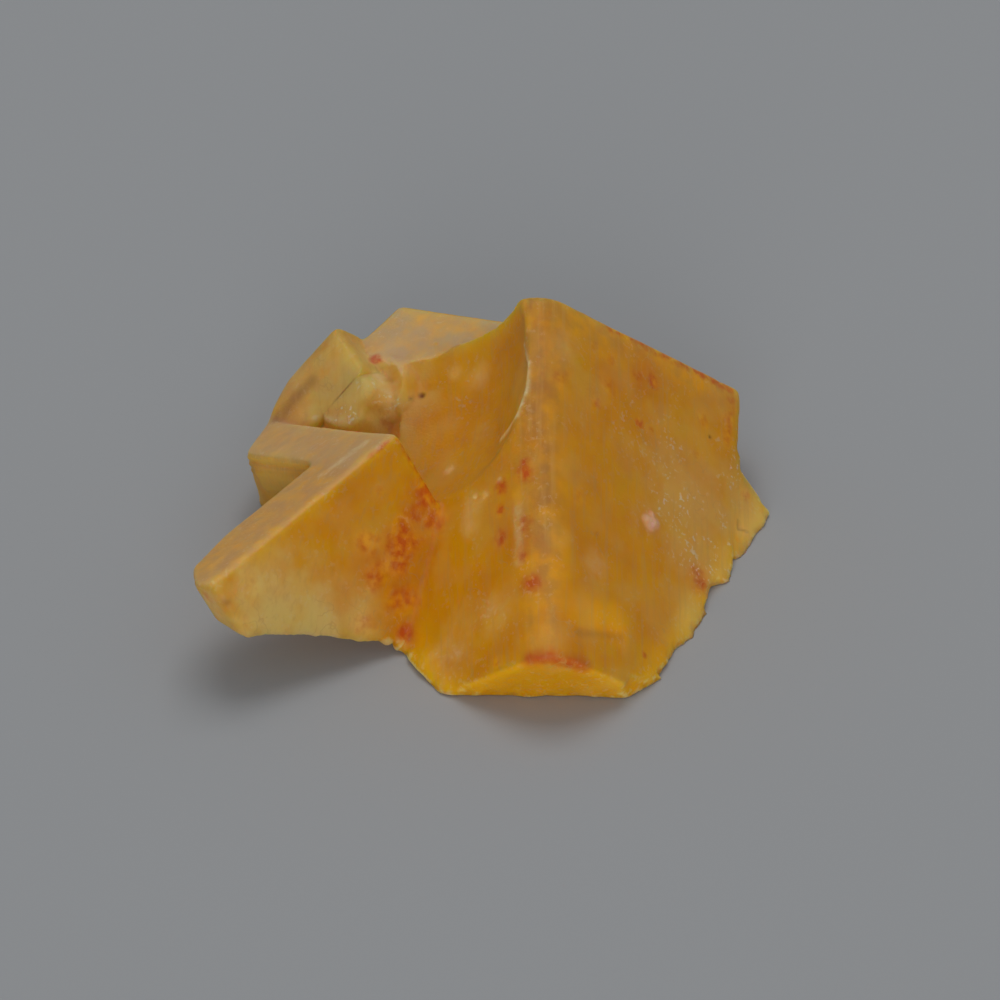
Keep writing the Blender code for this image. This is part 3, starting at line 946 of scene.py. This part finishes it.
@dataclass(frozen=True)
class Paint:
    """What is painted on the stone for its material to read, from 0 to 1 at each point.

    ragged: cell, mm, and seed of the noise that pushes the marks' borders in and out, and
        ragged_by, how far it does on a mark of full_size, mm, or more.
    specks: the least strength of the bright specks, painted glints, which speck_noise gathers in
    places.
    patches: cell and seed of the faint pale patches, and patch_strength.
    clear: how clear the stone is, and hides, how much of that a mark takes away.
    top_edge_sheen: strength of the painted sheen along the large cube's top edge.
    line_width, line_length, line_seed: the painted sheen's lines along the ridge, mm.
    """

    ragged: tuple[float, int] = (0.9, 23)
    ragged_by: float = 0.6
    full_size: float = 0.8
    specks: float = 0.14
    speck_noise: tuple[float, int] = (1.0, 33)
    patches: tuple[float, int] = (2.2, 27)
    patch_strength: float = 0.12
    clear: float = 0.42
    hides: float = 0.8
    top_edge_sheen: float = 0.6
    line_width: float = 0.35
    line_seed: int = 29
    line_length: float = 14.0

    def apply(self, mesh: Mesh, points: Array, normals: Array) -> None:
        """Write a value at each point for each layer into the mesh's attributes.

        Args:
            mesh: the stone's mesh.
            points: its points, mm.
            normals: the outward normals there.
        """
        values = self.marks(points)
        # Painted glow: the large cube's low front face, and the foot at the left, are painted
        # bright orange as if lit by light coming through the stone.
        front = Face(LARGE_CUBE, 2, False).share(points, normals)
        foot = smoothstep(2.2, 0.2, points[:, 2]) * smoothstep(-7.0, -4.0, points[:, 0])
        values["glow"] = np.max([values["glow"], front, 0.6 * foot], axis=0)
        # Painted sheen of the overhead light on upward faces: the plates, the back block, the
        # ridge and the top edge.
        values["top_sheen"] = self.top_sheen(points, normals)
        values["pale_sheen"] = self.pale_sheen(points, normals)
        values["crest_sheen"] = self.crest_sheen(points, normals)
        covers = ("top_sheen", "pale_sheen", "crest_sheen", "milk_and_glint", "rust", "grain", "pit", "glow")
        hidden = np.max([*(values[name] for name in covers), foot], axis=0)
        values["clear"] = np.maximum(values["clear"], self.clear)
        values["clear"] *= 1.0 - self.hides * np.clip(hidden, 0.0, 1.0)
        # Painted highlight: rims that stand out low on the stone are laid on as pale straw, as if
        # lit through their thin edges. The faint pale patches are the stone's own tone.
        lit_rims = 0.7 * self.lit_rims(mesh, points, normals)
        pale = self.patch_strength * smoothstep(0.0, 0.4, layered_noise(points, *self.patches))
        values["straw"] = np.max([values["straw"], lit_rims, pale], axis=0)
        for name, value in values.items():
            layer = mesh.attributes.new(name, "FLOAT", "POINT")
            layer.data.foreach_set("value", np.clip(value, 0.0, 1.0).astype(np.float32))

    def marks(self, points: Array) -> dict[str, Array]:
        """Return the strength of every kind of mark.

        Round each place or line it falls from the mark's strength to 0 across a border that
        noise pushes in and out, less on small marks. Where marks of a kind overlap, the stronger
        one holds.

        Args:
            points: n by 3 places, mm.

        Returns:
            Each mark's name, with one value for each point.
        """
        ragged = layered_noise(points, *self.ragged)
        values = {kind.value: np.zeros(len(points)) for kind in Mark}
        marks = [
            (kind, gap_to(points, place), size, strength)
            for kind, spots in SPOTS.items()
            for *place, size, strength in spots
        ]
        marks += [
            (kind, near_line(points, streak.line), streak.width, streak.strength)
            for kind, streaks in STREAKS.items()
            for streak in streaks
        ]
        for kind, gap, size, strength in marks:
            border = self.ragged_by * min(1.0, size / self.full_size) * ragged
            here = strength * smoothstep(1.7, 0.1, gap / size + border)
            values[kind.value] = np.maximum(values[kind.value], here)
        # Painted glints: a faint scatter of sparkle everywhere, gathered in places by noise.
        gathered = smoothstep(-0.1, 0.3, layered_noise(points, *self.speck_noise))
        values["sparkle"] = np.maximum(values["sparkle"], self.specks) * gathered
        return values

    @staticmethod
    def top_sheen(points: Array, normals: Array) -> Array:
        """Return the painted tan sheen of the overhead light on the level faces of both plates,
        and on the slab's outer end.
        """
        tops = [
            0.95 * Face(plate, 2).share(points, normals, 0.7, (0.3, 0.65))
            for plate in (FRONT_PLATE, CROSS_PLATE)
        ]
        outer_end = smoothstep(-11.2, -12.4, points[:, 0]) * smoothstep(4.0, 6.0, points[:, 1])
        return np.max([*tops, 0.7 * outer_end], axis=0)

    @staticmethod
    def pale_sheen(points: Array, normals: Array) -> Array:
        """Return the paler painted sheen of the overhead light: whole on the back block, part on
        the crossing plate.
        """
        block = Face(BACK_BLOCK, 2).share(points, normals, 0.5, (0.91, 0.96))
        return np.maximum(0.95 * block, 0.45 * Face(CROSS_PLATE, 2).share(points, normals))

    def crest_sheen(self, points: Array, normals: Array) -> Array:
        """Return the thin painted sheen of the overhead light along the ridge, drawn out in lines,
        and along the top edge.
        """
        cube = LARGE_CUBE.local(points)
        ridge = smoothstep(3.4, 1.0, np.abs(cube[:, 0])) * smoothstep(3.4, 1.0, np.abs(cube[:, 1]))
        across = (cube[:, 0] - cube[:, 1]) * HALF_ROOT
        drawn_out = np.stack([across, cube[:, 2] / self.line_length, 0.0 * across], 1)
        ridge *= 0.62 + 0.4 * lattice_noise(drawn_out, self.line_width, self.line_seed)
        upper = Face(LARGE_CUBE, 1).share(points, normals) * smoothstep(-4.0, -0.5, cube[:, 2])
        return np.maximum(ridge, self.top_edge_sheen * upper)

    @staticmethod
    def lit_rims(mesh: Mesh, points: Array, normals: Array) -> Array:
        """Return the lit rims, a painted highlight: where a low point stands out beyond its
        neighbours' mean.
        """
        stands = ((points - neighbour_mean(mesh, points)) * normals).sum(1)
        return smoothstep(0.006, 0.02, stands) * smoothstep(3.2, 1.2, points[:, 2])


@dataclass
class Stone:
    """The cluster's skin, made from the solid with its natural surface worked in.

    weld: gap across which the solid's loose points are merged, mm.
    voxel: size of the even cells that the solid is rebuilt in, mm.
    ease: how far each round of smoothing moves a point to its neighbours' mean, as a share.
    held: how much less than that on the notched foot, which keeps its corners.
    rounds: of smoothing over the whole stone.
    fill_most: the deepest that low ground is filled, mm.
    fill_core: share of a fill's radius within which it is whole.
    settled_rounds: of smoothing over the filled ground beside the slab.
    most: triangles in the finished mesh.
    """

    weld: float = 0.002
    voxel: float = 0.15
    ease: float = 0.5
    held: float = 0.38
    rounds: int = 14
    fill_most: float = 3.0
    fill_core: float = 0.72
    settled_rounds: int = 16
    most: int = 190000

    def build(self) -> Object:
        """Make the skin, dress it and return it."""
        piece = self.even_copy()
        mesh = piece.data
        self.write(mesh, self.smooth(mesh, self.read(mesh)[0]))
        self.write(mesh, self.fill_ground(mesh, self.read(mesh)[0]))
        self.write(mesh, self.roughen(*self.read(mesh)))
        self.thin_out(piece)
        self.write(piece.data, self.inside_box(self.read(piece.data)[0]))
        Paint().apply(piece.data, *self.read(piece.data))
        piece.data.shade_smooth()
        piece.data.materials.clear()
        piece.data.materials.append(CloudedFluorite().material())
        return piece

    def even_copy(self) -> Object:
        """Copy the solid's mesh, merge it and rebuild it in even cells."""
        work = bmesh.new()
        work.from_mesh(bpy.data.objects[NODE].data)
        bmesh.ops.remove_doubles(work, verts=work.verts, dist=self.weld * MM)
        mesh = bpy.data.meshes.new("fluorite_skin")
        work.to_mesh(mesh)
        work.free()
        piece = bpy.data.objects.new("fluorite_skin", mesh)
        bpy.context.collection.objects.link(piece)
        remesh = piece.modifiers.new("Even", "REMESH")
        remesh.mode = "VOXEL"
        remesh.voxel_size = self.voxel * MM
        self.apply(piece)
        return piece

    @staticmethod
    def apply(piece: Object) -> None:
        """Turn the piece's modifiers into its mesh."""
        graph = bpy.context.evaluated_depsgraph_get()
        mesh = bpy.data.meshes.new_from_object(piece.evaluated_get(graph))
        piece.modifiers.clear()
        piece.data = mesh

    @staticmethod
    def read(mesh: Mesh) -> tuple[Array, Array]:
        """Return the mesh's points in mm and its outward normals."""
        count = len(mesh.vertices)
        points = np.empty(count * 3)
        normals = np.empty(count * 3, dtype=np.float32)
        mesh.vertices.foreach_get("co", points)
        mesh.vertex_normals.foreach_get("vector", normals)
        return points.reshape(-1, 3) / MM, normals.reshape(-1, 3).astype(float)

    @staticmethod
    def write(mesh: Mesh, points: Array) -> None:
        """Put points in mm back into the mesh."""
        mesh.vertices.foreach_set("co", (points * MM).ravel())
        mesh.update()

    @staticmethod
    def inside_box(points: Array) -> Array:
        """Return the points, held inside the solid's box."""
        low, high = (np.array(corner) / MM for corner in CAD_BOX)
        return np.clip(points, low, high)

    def smooth(self, mesh: Mesh, points: Array) -> Array:
        """Move points towards their neighbours' mean, round after round, but less on the foot.

        Args:
            mesh: the stone's mesh.
            points: its points, mm.

        Returns:
            The points' new places.
        """
        notched = smoothstep(2.5, 1.0, points[:, 2]) * smoothstep(7.0, 10.0, points[:, 0])
        share = self.ease - self.held * notched[:, None]
        return relax(mesh, points, share, self.rounds)

    def fill_ground(self, mesh: Mesh, points: Array) -> Array:
        """Fill the low ground beside the slab and round the small corner.

        Inside a soft sphere, a point below a level along a crystal's axis moves out along it to
        the level. Then the hollow's rim is lowered inside another, and the ground beside the slab
        is smoothed.

        Args:
            mesh: the stone's mesh.
            points: its points, mm.

        Returns:
            The points' new places.
        """
        for fill in FILLS:
            height = fill.crystal.local(points)[:, fill.axis]
            below = np.clip(fill.level - height, 0.0, self.fill_most)
            core = self.fill_core * fill.radius
            moved = below * smoothstep(fill.radius, core, gap_to(points, fill.centre))
            points = points + moved[:, None] * fill.crystal.rotation()[:, fill.axis]
        centre, radius, depth = WORN_RIM
        points[:, 2] -= depth * smoothstep(radius, 0.3 * radius, gap_to(points, centre))
        centre, radius = SETTLED
        share = self.ease * smoothstep(radius, 0.7 * radius, gap_to(points, centre))[:, None]
        return relax(mesh, points, share, self.settled_rounds)

    def roughen(self, points: Array, normals: Array) -> Array:
        """Work the relief and the uneven foot into the surface, inside the solid's box.

        Args:
            points: n by 3 places, mm.
            normals: the outward normals there.

        Returns:
            The points' new places.
        """
        relief = Relief()
        raised = normals * relief.height(points, normals)[:, None]
        return self.inside_box(points + raised + relief.worn_foot(points))

    def thin_out(self, piece: Object) -> None:
        """Merge edges on the flattest parts until the mesh is down to its limit."""
        triangles = 2 * len(piece.data.polygons)
        if triangles <= self.most:
            return
        reduce = piece.modifiers.new("Thin", "DECIMATE")
        reduce.ratio = self.most / triangles
        reduce.use_collapse_triangulate = True
        self.apply(piece)


# --- The studio ---


@dataclass(frozen=True)
class Lamp:
    """A square soft light that faces the stone.

    name: the light's name.
    place: where it hangs, m.
    side: its width, m.
    power: W.
    """

    name: str
    place: Triple
    side: float
    power: float

    def build(self) -> None:
        """Hang the light."""
        data = bpy.data.lights.new(self.name, "AREA")
        data.size = self.side
        data.energy = self.power
        light = bpy.data.objects.new(self.name, data)
        light.location = self.place
        light.rotation_euler = (-Vector(self.place)).to_track_quat("-Z", "Y").to_euler()
        bpy.context.collection.objects.link(light)


@dataclass(frozen=True)
class Studio:
    """Floor, lights and camera.

    aim: the point in the middle of the view, mm.
    elevation: the camera's angle above the floor, degrees.
    distance: from the camera to that point, mm.
    lens: focal length, mm, on a sensor of a given width, mm.
    near: the nearest that the camera sees, m.
    floor_half: half the floor's side, m.
    sky, sky_strength: colour and strength of the even light from all round.
    lamps: a soft light above and slightly behind, and a low one in front.
    """

    aim: Triple = (0.755, -5.75, 9.2)
    elevation: float = 37.0
    distance: float = 300.0
    lens: float = 172.8
    sensor: float = 36.0
    near: float = 0.01
    floor_half: float = 0.9
    sky: str = "#dfe4ea"
    sky_strength: float = 0.39
    lamps: tuple[Lamp, ...] = (
        Lamp("overhead", (0.0, 0.15, 0.5), 0.32, 0.86),
        Lamp("front_fill", (-0.02, -0.6, 0.16), 0.4, 1.6),
    )

    def build(self) -> None:
        """Make the floor, the lights and the camera.

        The colours are shown as they are, not softened as on film. Light is followed through few
        enough bounces for the clear stone to render quickly.
        """
        scene = bpy.context.scene
        scene.view_settings.view_transform = "Standard"
        scene.cycles.max_bounces = 8
        scene.cycles.diffuse_bounces = 3
        scene.cycles.transmission_bounces = 7
        self.floor()
        self.light_sky()
        for lamp in self.lamps:
            lamp.build()
        self.camera()

    def floor(self) -> None:
        """Lay a level square of paper under the stone."""
        half = self.floor_half
        corners = [(-half, -half, 0.0), (half, -half, 0.0), (half, half, 0.0), (-half, half, 0.0)]
        mesh = bpy.data.meshes.new("studio_floor")
        mesh.from_pydata(corners, [], [(0, 1, 2, 3)])
        mesh.materials.append(StudioPaper().material())
        floor = bpy.data.objects.new("studio_floor", mesh)
        bpy.context.collection.objects.link(floor)

    def light_sky(self) -> None:
        """Light the room evenly and faintly from all round."""
        world = bpy.data.worlds.new("studio")
        world.use_nodes = True
        background = world.node_tree.nodes["Background"]
        background.inputs["Color"].default_value = srgb(self.sky)
        background.inputs["Strength"].default_value = self.sky_strength
        bpy.context.scene.world = world

    def camera(self) -> None:
        """Place the camera in front of the stone, looking down at it."""
        data = bpy.data.cameras.new("studio_camera")
        data.lens = self.lens
        data.sensor_width = self.sensor
        data.clip_start = self.near
        camera = bpy.data.objects.new("studio_camera", data)
        angle = math.radians(self.elevation)
        away = Vector((0.0, -math.cos(angle), math.sin(angle))) * self.distance
        camera.location = (Vector(self.aim) + away) * MM
        camera.rotation_euler = (math.radians(90.0 - self.elevation), 0.0, 0.0)
        bpy.context.collection.objects.link(camera)
        bpy.context.scene.camera = camera


def main() -> None:
    """Build the stone and the studio in order, and report each piece."""
    logging.basicConfig(level=logging.INFO, format="%(message)s")
    skin = Stone().build()
    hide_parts(NODE)
    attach(skin, "root")
    mesh = skin.data
    log.info("%s: %d points, %d faces", skin.name, len(mesh.vertices), len(mesh.polygons))
    Studio().build()


if __name__ == "__main__":
    main()
